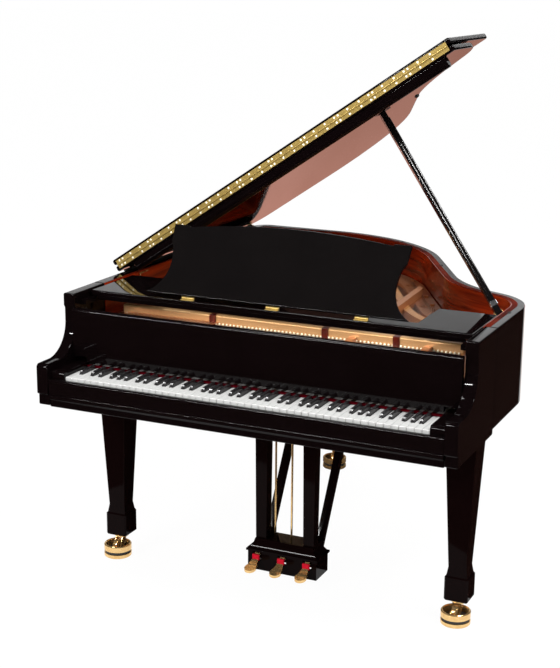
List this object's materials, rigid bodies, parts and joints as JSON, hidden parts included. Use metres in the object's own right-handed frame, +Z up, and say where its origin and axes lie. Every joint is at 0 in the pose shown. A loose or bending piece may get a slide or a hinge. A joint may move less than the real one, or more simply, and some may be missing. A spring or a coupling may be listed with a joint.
{
  "type": "grand piano",
  "caption": "Black grand piano with its lid propped open, a music desk, a keyboard, a pedal lyre with brass pedals and tapered legs on casters in brass cups.",
  "frame": {"origin": "on the floor under the middle of the whole, with the lid open", "axes": "+X along the keyboard towards the treble, +Y from the player to the tail, +Z up"},
  "size_m": [1.4568, 1.661, 1.8075],
  "materials": {
    "lacquer": "polished black lacquer",
    "mahogany": "polished veneer",
    "maple": "satin",
    "spruce": "satin varnish",
    "gilt_iron": "gold lacquer",
    "steel": "polished",
    "copper_wound": "polished",
    "hammer_felt": "felt",
    "red_felt": "felt",
    "white_key": "polished",
    "black_key": "satin",
    "brass": "polished",
    "socket_plastic": "matt",
    "caster_brass": "polished"
  },
  "bodies": {
    "case": {"outer_rim": "lacquer", "arms": "lacquer", "rim_lining": "mahogany", "inner_rim": "maple", "case_beams": "maple", "key_bed": "lacquer", "key_slip": "lacquer", "key_blocks": "lacquer", "name_rail": "red_felt", "key_frame": "maple", "soundboard": "spruce", "soundboard_ribs": "spruce", "treble_strings": "steel", "bass_strings": "copper_wound", "tuning_pins": "steel", "pin_block": "maple", "iron_plate": "gilt_iron", "bridges": "spruce", "dampers": "lacquer", "hammers": "hammer_felt", "action_rails": "maple", "rim_hinge_leaves": "brass", "prop_bracket": "brass", "tray_runners": "lacquer", "legs": "lacquer", "caster_cups": "brass", "lyre_frame": "lacquer", "pedal_box": "lacquer", "lyre_braces": "lacquer"},
    "lid": {"lid_main": "lacquer", "lid_edge_hinge": "brass", "lid_batten": "lacquer", "prop_socket": "socket_plastic", "lid_hinge_leaves": "brass"},
    "flap": {"lid_flap": "lacquer", "flap_edge_hinge": "brass"},
    "prop": {"lid_prop": "lacquer"},
    "tray": {"desk_tray": "lacquer", "desk_hinges": "brass"},
    "desk": {"music_desk": "lacquer"},
    "fall": {"fallboard": "lacquer"},
    "white_keys_bass_body": {"white_keys_bass": "white_key"},
    "white_keys_treble_body": {"white_keys_treble": "white_key"},
    "black_keys_bass_body": {"black_keys_bass": "black_key"},
    "black_keys_treble_body": {"black_keys_treble": "black_key"},
    "key_c4_body": {"key_c4": "white_key"},
    "key_c_sharp4_body": {"key_c_sharp4": "black_key"},
    "key_d4_body": {"key_d4": "white_key"},
    "pedal_left_body": {"pedal_left": "brass"},
    "rod_left_body": {"pedal_rod_left": "brass"},
    "pedal_middle_body": {"pedal_middle": "brass"},
    "rod_middle_body": {"pedal_rod_middle": "brass"},
    "pedal_right_body": {"pedal_right": "brass"},
    "rod_right_body": {"pedal_rod_right": "brass"},
    "fork_left": {"caster_fork_left": "caster_brass"},
    "wheel_left": {"caster_wheel_left": "caster_brass"},
    "fork_right": {"caster_fork_right": "caster_brass"},
    "wheel_right": {"caster_wheel_right": "caster_brass"},
    "fork_rear": {"caster_fork_rear": "caster_brass"},
    "wheel_rear": {"caster_wheel_rear": "caster_brass"}
  },
  "joints": [
    {"name": "lid_lift", "type": "hinge", "parent": "case", "child": "lid", "pos_m": [-0.68808, -0.2825, 0.9655], "axis": [0, -1, 0], "range_deg": [0, 12]},
    {"name": "flap_unfold", "type": "hinge", "parent": "lid", "child": "flap", "pos_m": [-0.11445, -0.2825, 1.38621], "axis": [0.831, 0, 0.5563], "range_deg": [0, 155]},
    {"name": "prop_fold", "type": "hinge", "parent": "case", "child": "prop", "pos_m": [0.66064, -0.2225, 0.95], "axis": [-0.7412, -0.4912, -0.4575], "range_deg": [0, 48]},
    {"name": "tray_slide", "type": "slide", "parent": "case", "child": "tray", "axis": [0, 1, 0], "range_m": [-0.08, 0.04]},
    {"name": "desk_fold", "type": "hinge", "parent": "tray", "child": "desk", "pos_m": [0.02264, -0.5525, 0.971], "axis": [-1, 0, 0], "range_deg": [0, 56]},
    {"name": "fallboard_close", "type": "hinge", "parent": "case", "child": "fall", "pos_m": [0.02264, -0.6545, 0.775], "axis": [1, 0, 0], "range_deg": [0, 90]},
    {"name": "white_keys_bass_press", "type": "hinge", "parent": "case", "child": "white_keys_bass_body", "pos_m": [0.02264, -0.5825, 0.7039], "axis": [1, 0, 0], "range_deg": [0, 2.6], "stiffness_Nm_per_rad": 12, "springref_deg": -6.88},
    {"name": "white_keys_treble_press", "type": "hinge", "parent": "case", "child": "white_keys_treble_body", "pos_m": [0.02264, -0.5825, 0.7039], "axis": [1, 0, 0], "range_deg": [0, 2.6], "stiffness_Nm_per_rad": 12, "springref_deg": -6.88},
    {"name": "black_keys_bass_press", "type": "hinge", "parent": "case", "child": "black_keys_bass_body", "pos_m": [0.02264, -0.5825, 0.7039], "axis": [1, 0, 0], "range_deg": [0, 2.6], "stiffness_Nm_per_rad": 12, "springref_deg": -6.88},
    {"name": "black_keys_treble_press", "type": "hinge", "parent": "case", "child": "black_keys_treble_body", "pos_m": [0.02264, -0.5825, 0.7039], "axis": [1, 0, 0], "range_deg": [0, 2.6], "stiffness_Nm_per_rad": 12, "springref_deg": -6.88},
    {"name": "key_c4_press", "type": "hinge", "parent": "case", "child": "key_c4_body", "pos_m": [0.02264, -0.5825, 0.7039], "axis": [1, 0, 0], "range_deg": [0, 2.6], "stiffness_Nm_per_rad": 1, "springref_deg": -6.88},
    {"name": "key_c_sharp4_press", "type": "hinge", "parent": "case", "child": "key_c_sharp4_body", "pos_m": [0.02264, -0.5825, 0.7039], "axis": [1, 0, 0], "range_deg": [0, 2.6], "stiffness_Nm_per_rad": 1, "springref_deg": -6.88},
    {"name": "key_d4_press", "type": "hinge", "parent": "case", "child": "key_d4_body", "pos_m": [0.02264, -0.5825, 0.7039], "axis": [1, 0, 0], "range_deg": [0, 2.6], "stiffness_Nm_per_rad": 1, "springref_deg": -6.88},
    {"name": "pedal_left_press", "type": "hinge", "parent": "case", "child": "pedal_left_body", "pos_m": [-0.06934, -0.4245, 0.0875], "axis": [1, 0, 0], "range_deg": [0, 8], "stiffness_Nm_per_rad": 5, "springref_deg": -14.32},
    {"name": "rod_left_lift", "type": "slide", "parent": "case", "child": "rod_left_body", "axis": [0, 0, 1], "range_m": [0, 0.00634]},
    {"name": "pedal_middle_press", "type": "hinge", "parent": "case", "child": "pedal_middle_body", "pos_m": [0.02264, -0.4245, 0.0875], "axis": [1, 0, 0], "range_deg": [0, 8], "stiffness_Nm_per_rad": 5, "springref_deg": -14.32},
    {"name": "rod_middle_lift", "type": "slide", "parent": "case", "child": "rod_middle_body", "axis": [0, 0, 1], "range_m": [0, 0.00634]},
    {"name": "pedal_right_press", "type": "hinge", "parent": "case", "child": "pedal_right_body", "pos_m": [0.11462, -0.4245, 0.0875], "axis": [1, 0, 0], "range_deg": [0, 8], "stiffness_Nm_per_rad": 5, "springref_deg": -14.32},
    {"name": "rod_right_lift", "type": "slide", "parent": "case", "child": "rod_right_body", "axis": [0, 0, 1], "range_m": [0, 0.00634]},
    {"name": "caster_left_swivel", "type": "hinge", "parent": "case", "child": "fork_left", "pos_m": [-0.59696, -0.4645, 0.072], "axis": [0, 0, 1], "range_deg": [-15, 15]},
    {"name": "caster_left_spin", "type": "hinge", "parent": "fork_left", "child": "wheel_left", "pos_m": [-0.59696, -0.4925, 0.0353], "axis": [1, 0, 0], "continuous": true},
    {"name": "caster_right_swivel", "type": "hinge", "parent": "case", "child": "fork_right", "pos_m": [0.64224, -0.4645, 0.072], "axis": [0, 0, 1], "range_deg": [-15, 15]},
    {"name": "caster_right_spin", "type": "hinge", "parent": "fork_right", "child": "wheel_right", "pos_m": [0.64224, -0.4925, 0.0353], "axis": [1, 0, 0], "continuous": true},
    {"name": "caster_rear_swivel", "type": "hinge", "parent": "case", "child": "fork_rear", "pos_m": [-0.26136, 0.7155, 0.072], "axis": [0, 0, 1], "range_deg": [-15, 15]},
    {"name": "caster_rear_spin", "type": "hinge", "parent": "fork_rear", "child": "wheel_rear", "pos_m": [-0.26136, 0.6875, 0.0353], "axis": [1, 0, 0], "continuous": true}
  ],
  "couplings": [
    {"joint": "rod_left_lift", "follows": "pedal_left_press", "m_per_rad": 0.044},
    {"joint": "rod_middle_lift", "follows": "pedal_middle_press", "m_per_rad": 0.044},
    {"joint": "rod_right_lift", "follows": "pedal_right_press", "m_per_rad": 0.044}
  ]
}
